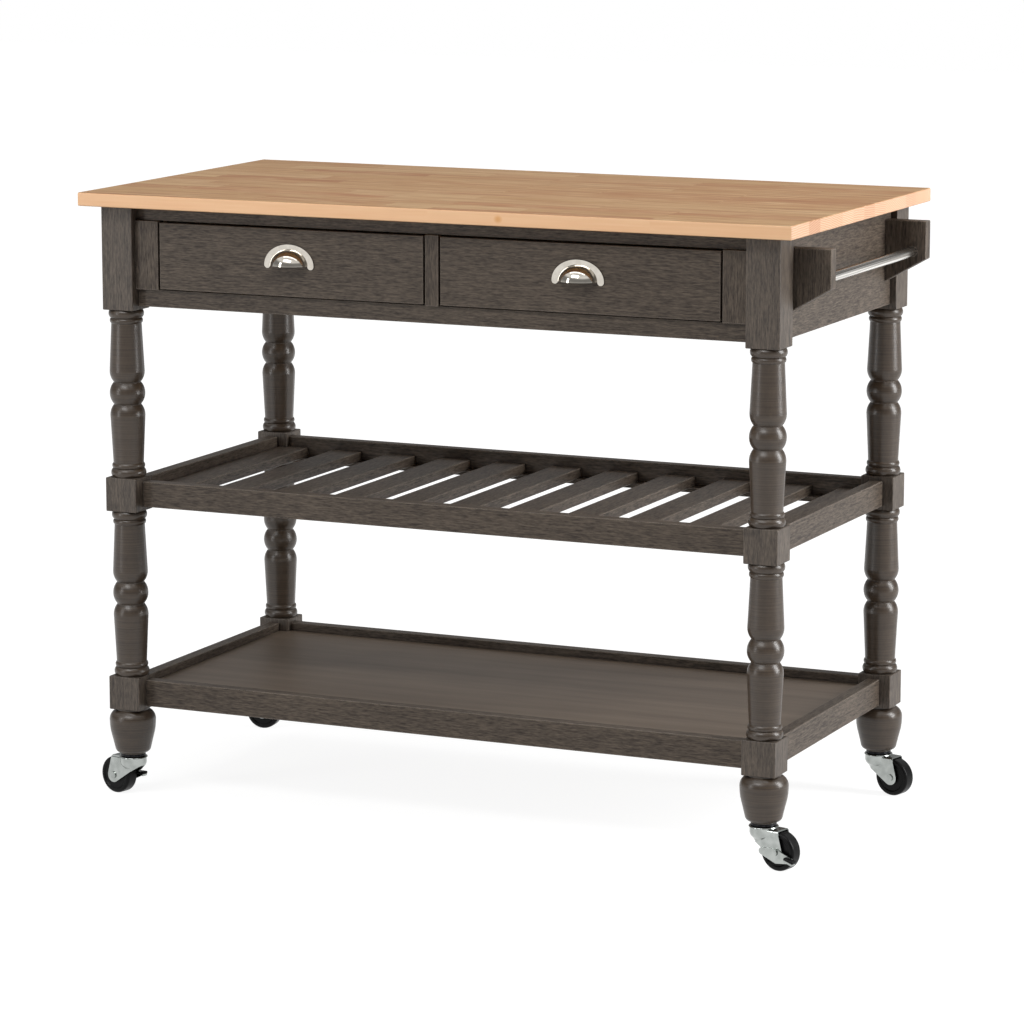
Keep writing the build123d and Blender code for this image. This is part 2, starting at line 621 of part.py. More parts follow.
def caster_yoke():
    """The pressed fork: a round crown under the ball race, and a leg down each side of the wheel."""
    crown_top = CROWN_LOW + YOKE_SHEET
    length = YOKE_FRONT + TRAIL + YOKE_EYE_R
    section = Pos(0, crown_top / 2) * RectangleRounded(2 * YOKE_OUT, crown_top, YOKE_BEND_R)
    room = Pos(0, CROWN_LOW / 2) * RectangleRounded(2 * YOKE_IN, CROWN_LOW, YOKE_BEND_R - YOKE_SHEET)
    room += Pos(0, YOKE_BEND_R) * Rectangle(2 * YOKE_IN, 2 * YOKE_BEND_R)
    yoke = Pos(-YOKE_FRONT, 0, 0) * extrude(Plane.YZ * section, length)
    yoke += crown_cup(0, crown_top)
    yoke -= Pos(-YOKE_FRONT, 0, 0) * extrude(Plane.YZ * room, length)
    yoke -= crown_cup(YOKE_SHEET, CROWN_LOW)
    yoke &= extrude(Plane.XZ * yoke_outline(crown_top), RACE_R, both=True)
    yoke += turned([
        Line((0, crown_top), (RACE_R, crown_top)),
        ThreePointArc((RACE_R, crown_top), (RACE_R - RACE_BULGE, (crown_top + CROWN_TOP) / 2),
                      (RACE_TOP_R, CROWN_TOP)),
        Polyline((RACE_TOP_R, CROWN_TOP), (0, CROWN_TOP), (0, crown_top)),
    ])
    yoke -= upright_rod(KINGPIN_R + RUN_FIT, CROWN_LOW - 1, CROWN_TOP + 1)
    return yoke - Pos(TRAIL, 0, WHEEL_R) * cross_rod(AXLE_R + HOLE_FIT, -YOKE_OUT, YOKE_OUT)


def caster_axle(braked):
    """The riveted axle, longer on the side where it also carries the brake lever."""
    far = YOKE_OUT + (LEVER_SHEET + 2 * SPIN_GAP if braked else 0)
    axle = cross_rod(AXLE_R, -far, YOKE_OUT)
    axle += cross_rod(AXLE_HEAD_R, YOKE_OUT, YOKE_OUT + AXLE_HEAD_THICK)
    axle += cross_rod(AXLE_HEAD_R, -far - AXLE_HEAD_THICK, -far)
    return Pos(TRAIL, 0, WHEEL_R) * axle


def caster_wheel():
    """The solid wheel with rounded tread edges, dished sides and a hub that keeps it off the fork."""
    half = WHEEL_WIDTH / 2
    hub = YOKE_IN - SPIN_GAP
    rim = WHEEL_R - WHEEL_ROUND
    bore = AXLE_R + RUN_FIT
    half_outline = [
        Polyline((bore, 0), (bore, hub), (WHEEL_HUB_R, hub), (WHEEL_HUB_R, half - WHEEL_DISH),
                 (WHEEL_DISH_R, half - WHEEL_DISH), (WHEEL_DISH_R + WHEEL_DISH, half), (rim, half)),
        TangentArc((rim, half), (WHEEL_R, half - WHEEL_ROUND), tangent=(1, 0)),
        Polyline((WHEEL_R, half - WHEEL_ROUND), (WHEEL_R, 0), (bore, 0)),
    ]
    side = turned(half_outline)
    wheel = side + mirror(side, about=Plane.XY)
    return Pos(TRAIL, 0, WHEEL_R) * Rot(90, 0, 0) * wheel


def brake_lever(pedal_side, fall):
    """The brake lever on the axle's end: its pedal lies behind (+1) or in front (-1), fallen by an angle."""
    rounds = [Pos(x, z) * Circle(radius) for x, z, radius in LEVER_ROUNDS]
    outline = make_hull([edge for one in rounds for edge in one.edges()])
    pedal = fillet(Box(PEDAL_LENGTH, PEDAL_WIDTH, PEDAL_THICK).edges(), PEDAL_ROUND)
    lever = extrude(Plane.XZ * outline, LEVER_SHEET) + Pos(LEVER_REACH, -PEDAL_WIDTH / 2, 0) * pedal
    lever = Rot(0, fall, 0) * (lever - cross_rod(AXLE_R + RUN_FIT, -LEVER_SHEET - 1, 1))
    if pedal_side < 0:
        lever = mirror(lever, about=Plane.YZ)
    return Pos(TRAIL, -YOKE_OUT - SPIN_GAP, WHEEL_R) * lever


def casters():
    """The four casters, each turned about its stem as it stands."""
    made = {}
    for corner, (right, back) in CORNERS.items():
        place = Pos(right * LEG_X, back * LEG_Y, 0) * Rot(0, 0, CASTER_TURNS[corner])
        braked = back < 0
        made[f"caster_stem_{corner}"] = place * caster_stem()
        made[f"caster_yoke_{corner}"] = place * caster_yoke()
        made[f"caster_axle_{corner}"] = place * caster_axle(braked)
        made[f"caster_wheel_{corner}"] = place * caster_wheel()
        if braked:
            made[f"brake_lever_{corner}"] = place * brake_lever(right, LEVER_DOWN if right > 0 else LEVER_UP)
    return made


def cart():
    """Every node of the cart by name, as a list of its solids, about the middle of the worktop."""
    made = {
        "worktop": worktop(),
        "end_stiles": [stile(-LEG_IN_X, -OPENING_OUT), stile(OPENING_OUT, LEG_IN_X)],
        "centre_stile": stile(-OPENING_IN, OPENING_IN),
        "drawer_runners": drawer_runners(),
        "drawer_kickers": drawer_kickers(),
        "corner_blocks": corner_blocks(),
        "top_screws": top_screws(),
        "towel_bracket_front": towel_bracket(back=False),
        "towel_bracket_back": towel_bracket(back=True),
        "towel_rod": towel_rod(),
        "shelf_slats": shelf_slats(),
        "base_panel": base_panel(),
        "shelf_ledges": shelf_ledges(),
    }
    made |= {name: rail(name) for name in MEMBERS}
    made |= legs() | drawers() | casters()
    return {name: piece if isinstance(piece, list) else [piece] for name, piece in made.items()}


def middle_x(nodes):
    """The middle of the whole cart's length, which the towel bar and the casters' turn set off centre."""
    boxes = [piece.bounding_box() for pieces in nodes.values() for piece in pieces]
    return (min(box.min.X for box in boxes) + max(box.max.X for box in boxes)) / 2


NODES = cart()
SHIFT_X = -middle_x(NODES)
print(f"the worktop's middle is at X = {SHIFT_X:.3f}")
os.makedirs("parts", exist_ok=True)
for name, pieces in NODES.items():
    solids = [Pos(SHIFT_X, 0, 0) * solid for piece in pieces for solid in piece.solids()]
    shape = solids[0] if len(solids) == 1 else Compound(children=solids)
    export_step(shape, f"parts/{name}.step")
print(f"{len(NODES)} nodes written")
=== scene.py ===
# %% [markdown]
# # A butcher block kitchen cart
# The cart is a stained rubberwood frame with turned legs, an oiled butcher block top, two drawers, a
# slatted shelf, a solid base shelf, a towel bar and four casters. Its shapes come ready made from the
# frame, so this lesson is mostly about finishes: each piece gets a material that is built from nodes.
# Only the rubber pads on the brake pedals are modelled here.

# %% Load the frame
import json
from math import cos, pi, radians, sin

import bmesh
import bpy
from mathutils import Matrix, Vector


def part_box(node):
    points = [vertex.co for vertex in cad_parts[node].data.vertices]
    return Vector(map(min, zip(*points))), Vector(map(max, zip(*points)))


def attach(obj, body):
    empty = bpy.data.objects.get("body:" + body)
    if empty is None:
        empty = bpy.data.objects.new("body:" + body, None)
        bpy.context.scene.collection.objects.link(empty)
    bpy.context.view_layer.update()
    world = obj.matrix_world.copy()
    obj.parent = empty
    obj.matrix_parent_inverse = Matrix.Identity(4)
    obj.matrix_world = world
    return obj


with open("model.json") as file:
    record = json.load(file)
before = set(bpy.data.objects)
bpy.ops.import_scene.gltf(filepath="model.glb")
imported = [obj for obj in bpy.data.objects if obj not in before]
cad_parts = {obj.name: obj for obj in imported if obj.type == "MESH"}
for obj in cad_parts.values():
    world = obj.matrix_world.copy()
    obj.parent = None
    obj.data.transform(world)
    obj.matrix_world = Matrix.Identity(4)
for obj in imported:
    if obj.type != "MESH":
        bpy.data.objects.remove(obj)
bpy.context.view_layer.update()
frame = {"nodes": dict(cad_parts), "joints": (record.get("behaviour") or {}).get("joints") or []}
nodes = frame["nodes"]
joints = {joint["name"]: joint for joint in frame["joints"]}

# %% [markdown]
# ## Small helpers
# Colours are picked as sRGB hex values, as a paint chart gives them, but the renderer counts light, so
# one function turns them to linear. Patterns are sized by real distances: a texture that runs across a
# metre needs so many repeats to have features of some millimetres.

# %% Colours and scales
MM = 0.001


def colour(hex_code):
    """An sRGB hex colour as linear red, green, blue and alpha."""
    parts = [int(hex_code[i:i + 2], 16) / 255 for i in (1, 3, 5)]
    return [p / 12.92 if p <= 0.04045 else ((p + 0.055) / 1.055) ** 2.4 for p in parts] + [1.0]


def repeats(size_mm):
    """How many features of this size lie in a metre."""
    return 1 / (size_mm * MM)


print("a mid grey is", [round(part, 3) for part in colour("#808080")])

# %% [markdown]
# One function adds any node with its settings and its links, so a material reads as a list of what it
# mixes. A Mix node keeps its sockets for numbers, vectors and colours side by side, some with the same
# label, so they are picked by their place in that row.

# %% Nodes and materials
FACTOR = 0
NUMBER_A, NUMBER_B = 2, 3
VECTOR_A, VECTOR_B = 4, 5
COLOUR_A, COLOUR_B = 6, 7
MIXED_NUMBER, MIXED_VECTOR, MIXED_COLOUR = 0, 1, 2


def feed(tree, node, inputs):
    """Give a node its inputs, each as a value or as a link from another node's output."""
    for name, value in inputs.items():
        if isinstance(value, bpy.types.NodeSocket):
            tree.links.new(value, node.inputs[name])
        else:
            node.inputs[name].default_value = value


def add(tree, kind, settings=None, inputs=None, stops=None):
    """Add a node with its own settings, its inputs as values or links, and a ramp's stops."""
    node = tree.nodes.new("ShaderNode" + kind)
    for name, value in (settings or {}).items():
        setattr(node, name, value)
    feed(tree, node, inputs or {})
    for index, (place, hex_code) in enumerate(stops or []):
        elements = node.color_ramp.elements
        element = elements[index] if index < 2 else elements.new(place)
        element.position = place
        element.color = colour(hex_code)
    return node


def new_material(name):
    """A material with nodes, and the tree and surface shader that it starts with."""
    material = bpy.data.materials.new(name)
    material.use_nodes = True
    tree = material.node_tree
    return material, tree, tree.nodes["Principled BSDF"]


def give(material, *names):
    """Lay a material on pieces of the frame."""
    for name in names:
        for slot in nodes[name].material_slots:
            slot.material = material
    print(material.name, "on", len(names), "pieces")


print("a Mix node blends colours from its sockets", COLOUR_A, "and", COLOUR_B)

# %% [markdown]
# ## Wire-brushed, stained rubberwood
# The frame is rubberwood that was wire-brushed along its grain and wiped with a dark grey-brown stain.
# The brushed pores hold more stain, so the grain shows as fine dark streaks, and broad bands follow the
# growth of the tree. A noise that is stretched along the grain gives streaks, and the same noise tilts
# the surface a little, so they catch light. The real pores are about half a millimetre wide, too fine
# for a picture of the whole cart, so they are drawn three times as wide.

# %% Streaks along the grain
STREAK_MM = (2.4, 28)
PORE_MM = (1.5, 9)
BAND_MM = (16, 320)
CLOUD_MM = 160


def along_grain(tree, place, grain, size_mm):
    """Noise that is narrow across the grain and long with it."""
    across, length = size_mm
    scale = [repeats(length if axis == grain else across) for axis in "xyz"]
    mapped = add(tree, "Mapping", {}, {"Vector": place, "Scale": scale})
    noise = add(tree, "TexNoise", {}, {"Vector": mapped.outputs["Vector"], "Scale": 1.0, "Detail": 2.0,
                                       "Roughness": 0.55})
    return noise.outputs["Fac"]


print("streaks", STREAK_MM, "mm, so", round(repeats(STREAK_MM[0])), "across a metre")

# %% [markdown]
# The sharp edges are paler: partly where sanding took stain off, and partly a painted highlight along
# the arrises. A bevelled normal leaves the real one only at an edge, so where the two disagree the edge
# is paled. Corners, grooves and the joints between parts are darkened where an ambient occlusion of a
# few millimetres finds them: partly stain that gathers there, and partly painted shade.

# %% Worn and highlit edges, and stained and shaded corners
WEAR_AND_HIGHLIGHT_MM = 1.6
CREVICE_MM = 5
EDGE_SAMPLES = 6


def worn_and_highlit_edges(tree):
    """1 on the sharp outer edges, where a rounded normal leaves the real one, and 0 elsewhere."""
    # The pale edge is partly wear and partly a painted highlight.
    rounded = add(tree, "Bevel", {"samples": EDGE_SAMPLES}, {"Radius": WEAR_AND_HIGHLIGHT_MM * MM})
    facing = add(tree, "NewGeometry")
    agree = add(tree, "VectorMath", {"operation": "DOT_PRODUCT"},
                {0: rounded.outputs["Normal"], 1: facing.outputs["Normal"]})
    edge_wear_and_highlight = add(tree, "MapRange", {}, {"Value": agree.outputs["Value"], "From Min": 0.985, "From Max": 0.85})
    return edge_wear_and_highlight.outputs["Result"]


def stain_and_shade_in_crevices(tree):
    """How dark the corners and grooves get, from gathered stain and painted shade: the most deep in them, and
    0 out on the faces.
    """
    open_sky = add(tree, "AmbientOcclusion", {"samples": EDGE_SAMPLES}, {"Distance": CREVICE_MM * MM})
    stained_and_shaded = add(tree, "MapRange", {}, {"Value": open_sky.outputs["AO"], "From Min": 0.85,
                                          "From Max": 0.4, "To Max": 0.6})
    return stained_and_shaded.outputs["Result"]


print("edges wear", WEAR_AND_HIGHLIGHT_MM, "mm in, and stain gathers within", CREVICE_MM, "mm of a corner")

# %% [markdown]
# The grain runs along each member, so there is one material for each direction, made by one function.
# An open grain is dull and the closed wood between has a low sheen, so the gloss follows the pattern.

# %% The stained wood
STAIN_DARK = "#2A221C"
STAIN_LIGHT = "#5E5348"
# The colour of corners, grooves and joints: gathered stain, and painted shade.
GATHERED_STAIN_AND_SHADE = "#1C1612"
# The pale grey of the edges: partly wood where stain wore off, and partly a painted highlight.
WORN_AND_HIGHLIT_EDGE = "#A0958A"
BRUSHED_MM = 0.3


def stained_wood(name, grain, wear_and_highlight=0.75):
    """Stained wood with its grain along one axis of the cart."""
    material, tree, surface = new_material(name)
    place = add(tree, "TexCoord").outputs["Object"]
    streaks = along_grain(tree, place, grain, STREAK_MM)
    pores = along_grain(tree, place, grain, PORE_MM)
    bands = along_grain(tree, place, grain, BAND_MM)
    clouds = add(tree, "TexNoise", {}, {"Vector": place, "Scale": repeats(CLOUD_MM), "Detail": 2.0})
    fine = add(tree, "Mix", {}, {FACTOR: 0.5, NUMBER_A: streaks, NUMBER_B: pores}).outputs[MIXED_NUMBER]
    broad = add(tree, "Mix", {}, {FACTOR: 0.5, NUMBER_A: bands, NUMBER_B: clouds.outputs["Fac"]})
    tone = add(tree, "Mix", {}, {FACTOR: 0.2, NUMBER_A: fine, NUMBER_B: broad.outputs[MIXED_NUMBER]})
    stretched = add(tree, "MapRange", {}, {"Value": tone.outputs[MIXED_NUMBER], "From Min": 0.38,
                                           "From Max": 0.62})
    stain = add(tree, "Mix", {"data_type": "RGBA"},
                {FACTOR: stretched.outputs["Result"], COLOUR_A: colour(STAIN_DARK),
                 COLOUR_B: colour(STAIN_LIGHT)})
    # Painted shade: corners, grooves and the joints between parts darken, partly from stain gathered there.
    stained_and_shaded = add(tree, "Mix", {"data_type": "RGBA"},
                   {FACTOR: stain_and_shade_in_crevices(tree), COLOUR_A: stain.outputs[MIXED_COLOUR],
                    COLOUR_B: colour(GATHERED_STAIN_AND_SHADE)})
    # Painted highlight: the sharp edges turn pale grey, partly also where stain wore off.
    edge = add(tree, "Math", {"operation": "MULTIPLY"}, {0: worn_and_highlit_edges(tree), 1: wear_and_highlight})
    shade = add(tree, "Mix", {"data_type": "RGBA"},
                {FACTOR: edge.outputs["Value"], COLOUR_A: stained_and_shaded.outputs[MIXED_COLOUR],
                 COLOUR_B: colour(WORN_AND_HIGHLIT_EDGE)})
    gloss = add(tree, "MapRange", {}, {"Value": fine, "To Min": 0.62, "To Max": 0.4})
    relief = add(tree, "Bump", {}, {"Height": fine, "Strength": 0.6, "Distance": BRUSHED_MM * MM})
    feed(tree, surface, {"Base Color": shade.outputs[MIXED_COLOUR], "Roughness": gloss.outputs["Result"],
                         "Normal": relief.outputs["Normal"], "Specular IOR Level": 0.3})
    return material


print("stain from", STAIN_DARK, "in the pores to", STAIN_LIGHT, "between them")

# %% Stained members along the cart
stained_x = stained_wood("stained rubberwood, grain along X", "x")
give(stained_x, "front_top_rail", "front_bottom_rail", "back_apron", "shelf_front_rail", "shelf_back_rail",
     "base_front_rail", "base_back_rail", "left_drawer_front", "right_drawer_front", "shelf_ledges")

# %% Stained members from front to back, and upright ones
stained_y = stained_wood("stained rubberwood, grain along Y", "y")
give(stained_y, "left_apron", "right_apron", "shelf_left_rail", "shelf_right_rail", "base_left_rail",
     "base_right_rail", "shelf_slats")
stained_z = stained_wood("stained rubberwood, grain along Z", "z")
give(stained_z, "end_stiles", "centre_stile", "towel_bracket_front", "towel_bracket_back")

# %% [markdown]
# ## The turned legs
# A leg was squared, brushed and then turned between its blocks. The cutter leaves faint rings round the
# turning instead of long streaks, and the stain builds a satin sheen on the round parts. The blocks and
# the turnings are one piece of wood, so this is one material, and the height on the leg decides which
# of the two finishes shows.

# %% Where the leg is square
CORNERS = ["front_left", "front_right", "back_left", "back_right"]
BLOCKS_MM = [(135, 186), (437, 488), (739, 894)]

legs_wood = stained_wood("stained rubberwood, turned legs", "z", wear_and_highlight=0.5)
tree = legs_wood.node_tree
surface = tree.nodes["Principled BSDF"]
place = add(tree, "TexCoord").outputs["Object"]
height = add(tree, "SeparateXYZ", {}, {"Vector": place}).outputs["Z"]
on_block = 0.0
for low, high in BLOCKS_MM:
    within = add(tree, "Math", {"operation": "COMPARE"},
                 {0: height, 1: (low + high) / 2 * MM, 2: (high - low) / 2 * MM})
    on_block = add(tree, "Math", {"operation": "MAXIMUM"}, {0: within.outputs[0], 1: on_block}).outputs[0]
print("a leg has", len(BLOCKS_MM), "square blocks, the lowest from", BLOCKS_MM[0], "mm up")

# %% Rings and wiped stain on the turnings
RING_MM = (1.1, 120)
MOTTLE_MM = 9
WIPED_DARK = "#2E241C"
WIPED_LIGHT = "#4C4034"

ring_scale = [repeats(RING_MM[1]), repeats(RING_MM[1]), repeats(RING_MM[0])]
mapped = add(tree, "Mapping", {}, {"Vector": place, "Scale": ring_scale})
rings = add(tree, "TexNoise", {}, {"Vector": mapped.outputs["Vector"], "Scale": 1.0, "Detail": 1.0})
ring_tone = add(tree, "MapRange", {}, {"Value": rings.outputs["Fac"], "From Min": 0.35, "From Max": 0.65})
mottle = add(tree, "TexNoise", {}, {"Vector": place, "Scale": repeats(MOTTLE_MM), "Detail": 3.0})
wiped = add(tree, "Mix", {}, {FACTOR: 0.45, NUMBER_A: ring_tone.outputs["Result"],
                              NUMBER_B: mottle.outputs["Fac"]})
wiped_stain = add(tree, "Mix", {"data_type": "RGBA"},
                  {FACTOR: wiped.outputs[MIXED_NUMBER], COLOUR_A: colour(WIPED_DARK),
                   COLOUR_B: colour(WIPED_LIGHT)})
# Painted shade in the grooves of the turnings and where they meet the blocks, partly stain gathered there.
turned_stain_and_shade = add(tree, "Mix", {"data_type": "RGBA"},
                   {FACTOR: stain_and_shade_in_crevices(tree), COLOUR_A: wiped_stain.outputs[MIXED_COLOUR],
                    COLOUR_B: colour(GATHERED_STAIN_AND_SHADE)})
print("rings every", RING_MM[0], "mm up the turnings")

# %% Both finishes on one leg
RING_DEPTH_MM = 0.1

brushed_stain = surface.inputs["Base Color"].links[0].from_socket
brushed_gloss = surface.inputs["Roughness"].links[0].from_socket
brushed_relief = surface.inputs["Normal"].links[0].from_socket
satin = add(tree, "MapRange", {}, {"Value": mottle.outputs["Fac"], "To Min": 0.26, "To Max": 0.4})
turned_relief = add(tree, "Bump", {}, {"Height": rings.outputs["Fac"], "Strength": 0.3,
                                       "Distance": RING_DEPTH_MM * MM})
stain = add(tree, "Mix", {"data_type": "RGBA"},
            {FACTOR: on_block, COLOUR_A: turned_stain_and_shade.outputs[MIXED_COLOUR], COLOUR_B: brushed_stain})
gloss = add(tree, "Mix", {}, {FACTOR: on_block, NUMBER_A: satin.outputs["Result"], NUMBER_B: brushed_gloss})
relief = add(tree, "Mix", {"data_type": "VECTOR"},
             {FACTOR: on_block, VECTOR_A: turned_relief.outputs["Normal"], VECTOR_B: brushed_relief})
feed(tree, surface, {"Base Color": stain.outputs[MIXED_COLOUR], "Roughness": gloss.outputs[MIXED_NUMBER],
                     "Normal": relief.outputs[MIXED_VECTOR], "Specular IOR Level": 0.5})
give(legs_wood, *[f"leg_{corner}" for corner in CORNERS])

# %% [markdown]
# ## The base shelf's board
# The board of the base shelf is veneered, so it was stained without brushing: it is smoother than the
# rails round it, with soft broad figure and no open pores. Its tones are lighter than the rails' stain,
# partly for that, and partly as painted light that makes up for the shade of the slatted shelf above.

# %% Smooth stained veneer
VENEER_FIGURE_MM = (28, 420)
VENEER_THREAD_MM = (2.2, 60)
VENEER_RELIEF_MM = 0.1

veneer, tree, surface = new_material("stained veneer board")
place = add(tree, "TexCoord").outputs["Object"]
figure = along_grain(tree, place, "x", VENEER_FIGURE_MM)
threads = along_grain(tree, place, "x", VENEER_THREAD_MM)
tone = add(tree, "Mix", {}, {FACTOR: 0.3, NUMBER_A: figure, NUMBER_B: threads})
stretched = add(tree, "MapRange", {}, {"Value": tone.outputs[MIXED_NUMBER], "From Min": 0.35,
                                       "From Max": 0.65})
# Painted light: both tones are lifted a little to make up for the shade that the slatted shelf casts.
stain = add(tree, "Mix", {"data_type": "RGBA"},
            {FACTOR: stretched.outputs["Result"], COLOUR_A: colour("#5C4F43"), COLOUR_B: colour("#6E6154")})
relief = add(tree, "Bump", {}, {"Height": threads, "Strength": 0.2, "Distance": VENEER_RELIEF_MM * MM})
feed(tree, surface, {"Base Color": stain.outputs[MIXED_COLOUR], "Roughness": 0.45,
                     "Normal": relief.outputs["Normal"], "Specular IOR Level": 0.35})
give(veneer, "base_panel")

# %% [markdown]
# ## The butcher block
# A butcher block top is glued from staves that are sawn from short lengths, so each row has joints at
# its own places and every stave its own colour, from cream to reddish brown. A brick pattern is laid in
# the same way: its rows are the staves, its random tint picks each stave's colour from a ramp, and the
# same tint shifts the grain, so no two staves share it.

# %% Staves and their grain
STAVE_WIDTH_MM = 44.9
STAVE_LENGTH_MM = 340
GLUE_LINE_MM = 0.4
GRAIN_SHIFT = (3.1, 0.0, 1.7)
HEART_MM = (11, 230)
SAP_MM = (5, 110)
FIBRE_MM = (2, 30)

block, tree, surface = new_material("oiled rubberwood butcher block")
place = add(tree, "TexCoord").outputs["Object"]
staves = add(tree, "TexBrick", {"offset": 0.37, "offset_frequency": 2, "squash": 0.62, "squash_frequency": 3},
             {"Vector": place, "Scale": 1.0, "Color1": colour("#000000"), "Color2": colour("#FFFFFF"),
              "Mortar": colour("#808080"), "Mortar Size": GLUE_LINE_MM * MM / 2, "Mortar Smooth": 0.3,
              "Brick Width": STAVE_LENGTH_MM * MM, "Row Height": STAVE_WIDTH_MM * MM})
tint = staves.outputs["Color"]
own_place = add(tree, "VectorMath", {"operation": "MULTIPLY_ADD"},
                {0: tint, 1: GRAIN_SHIFT, 2: place}).outputs["Vector"]
heartwood = along_grain(tree, own_place, "x", HEART_MM)
sapwood = along_grain(tree, own_place, "x", SAP_MM)
fibres = along_grain(tree, own_place, "x", FIBRE_MM)
print("staves", STAVE_WIDTH_MM, "mm wide and up to", STAVE_LENGTH_MM, "mm long")

# %% [markdown]
# Over a stave's own colour lie reddish patches of heartwood, golden threads of sapwood and fine brown
# fibres. Each is a noise of its own size, cut so that only its highest or lowest parts show.

# %% The face of the butcher block
STAVE_TONES = [(0.0, "#A0683D"), (0.12, "#B08153"), (0.4, "#B68D5D"), (0.66, "#B18557"), (0.86, "#C4A072"),
               (1.0, "#A76D40")]

ramp = add(tree, "ValToRGB", {}, {"Fac": tint}, STAVE_TONES)
heart = add(tree, "MapRange", {}, {"Value": heartwood, "From Min": 0.5, "From Max": 0.66, "To Max": 0.75})
sap = add(tree, "MapRange", {}, {"Value": sapwood, "From Min": 0.5, "From Max": 0.32, "To Max": 0.85})
fibre = add(tree, "MapRange", {}, {"Value": fibres, "From Min": 0.5, "From Max": 0.68, "To Max": 0.35})
reddish = add(tree, "Mix", {"data_type": "RGBA"},
              {FACTOR: heart.outputs["Result"], COLOUR_A: ramp.outputs["Color"], COLOUR_B: colour("#9C6238")})
golden = add(tree, "Mix", {"data_type": "RGBA"},
             {FACTOR: sap.outputs["Result"], COLOUR_A: reddish.outputs[MIXED_COLOUR],
              COLOUR_B: colour("#D2B083")})
top_tone = add(tree, "Mix", {"data_type": "RGBA"},
               {FACTOR: fibre.outputs["Result"], COLOUR_A: golden.outputs[MIXED_COLOUR],
                COLOUR_B: colour("#85592F")})
print(len(STAVE_TONES), "colours of staves")

# %% [markdown]
# The front edge shows the long sides of the foremost staves, paler than the top, with one small knot.
# The knot is a spot round a point, and the grain pushes its rim in and out.

# %% A knot in the front edge
KNOT_AT_MM = (110, -292, 904)
KNOT_RIM_MM = 9.5
KNOT_HEART_MM = 4
KNOT_WOBBLE_MM = 5

from_knot = add(tree, "VectorMath", {"operation": "DISTANCE"},
                {0: place, 1: [value * MM for value in KNOT_AT_MM]}).outputs["Value"]
wobble = add(tree, "Math", {"operation": "MULTIPLY_ADD"},
             {0: sapwood, 1: KNOT_WOBBLE_MM * MM, 2: from_knot}).outputs["Value"]
in_knot = add(tree, "MapRange", {}, {"Value": wobble, "From Min": KNOT_RIM_MM * MM,
                                     "From Max": KNOT_HEART_MM * MM, "To Max": 0.75})
edge_grain = add(tree, "Mix", {"data_type": "RGBA"},
                 {FACTOR: sapwood, COLOUR_A: colour("#F2C79C"), COLOUR_B: colour("#E6B285")})
edge_tone = add(tree, "Mix", {"data_type": "RGBA"},
                {FACTOR: in_knot.outputs["Result"], COLOUR_A: edge_grain.outputs[MIXED_COLOUR],
                 COLOUR_B: colour("#DB9A55")})
print("one knot, faded out", KNOT_RIM_MM, "mm from its middle")

# %% [markdown]
# The ends show end grain, stave beside stave, with the growth rings as arcs. Rings round the long axis
# draw them, and each stave's tint moves their middle. A ring pattern of scale 1 repeats every 0.1 pi.

# %% End grain
RING_GAP_MM = 3.2
RING_SHIFT = (0.0, 0.5, 0.11)
END_TONES = [(0.0, "#B88460"), (0.08, "#D9B192"), (0.6, "#DDB899"), (1.0, "#CFA582")]

ring_place = add(tree, "VectorMath", {"operation": "MULTIPLY_ADD"}, {0: tint, 1: RING_SHIFT, 2: place})
growth = add(tree, "TexWave", {"wave_type": "RINGS", "rings_direction": "X"},
             {"Vector": ring_place.outputs["Vector"], "Scale": 0.1 * pi * repeats(RING_GAP_MM),
              "Distortion": 2.5, "Detail": 2.0, "Detail Scale": 1.0})
end_ramp = add(tree, "ValToRGB", {}, {"Fac": tint}, END_TONES)
late_wood = add(tree, "Mix", {"data_type": "RGBA", "blend_type": "MULTIPLY"},
                {FACTOR: 0.55, COLOUR_A: end_ramp.outputs["Color"], COLOUR_B: colour("#C9A183")})
end_tone = add(tree, "Mix", {"data_type": "RGBA"},
               {FACTOR: growth.outputs["Fac"], COLOUR_A: late_wood.outputs[MIXED_COLOUR],
                COLOUR_B: end_ramp.outputs["Color"]})
print("growth rings", RING_GAP_MM, "mm apart")

# %% [markdown]
# The way that a face points decides which of the three it shows: a face that points along X is an end,
# one that points along Z is the top, and the rest is edge. The glue lines are drawn on the top only.

# %% Lay the three finishes on the faces
normal = add(tree, "NewGeometry").outputs["Normal"]
facing = add(tree, "SeparateXYZ", {}, {"Vector": normal})
flat_x, flat_z = [add(tree, "Math", {"operation": "ABSOLUTE"}, {0: facing.outputs[axis]}).outputs[0]
                  for axis in "XZ"]
on_end = add(tree, "MapRange", {}, {"Value": flat_x, "From Min": 0.6, "From Max": 0.8}).outputs["Result"]
on_top = add(tree, "MapRange", {}, {"Value": flat_z, "From Min": 0.5, "From Max": 0.9}).outputs["Result"]
sides = add(tree, "Mix", {"data_type": "RGBA"},
            {FACTOR: on_end, COLOUR_A: edge_tone.outputs[MIXED_COLOUR],
             COLOUR_B: end_tone.outputs[MIXED_COLOUR]})
whole = add(tree, "Mix", {"data_type": "RGBA"},
            {FACTOR: on_top, COLOUR_A: sides.outputs[MIXED_COLOUR], COLOUR_B: top_tone.outputs[MIXED_COLOUR]})
seam = add(tree, "Math", {"operation": "MULTIPLY"}, {0: staves.outputs["Fac"], 1: on_top}).outputs["Value"]
faint_seam = add(tree, "Math", {"operation": "MULTIPLY"}, {0: seam, 1: 0.5}).outputs["Value"]
glued = add(tree, "Mix", {"data_type": "RGBA"},
            {FACTOR: faint_seam, COLOUR_A: whole.outputs[MIXED_COLOUR], COLOUR_B: colour("#7A5232")})
print("glue lines", GLUE_LINE_MM, "mm wide on the top")

# %% Oil the butcher block
FIBRE_RELIEF_MM = 0.15

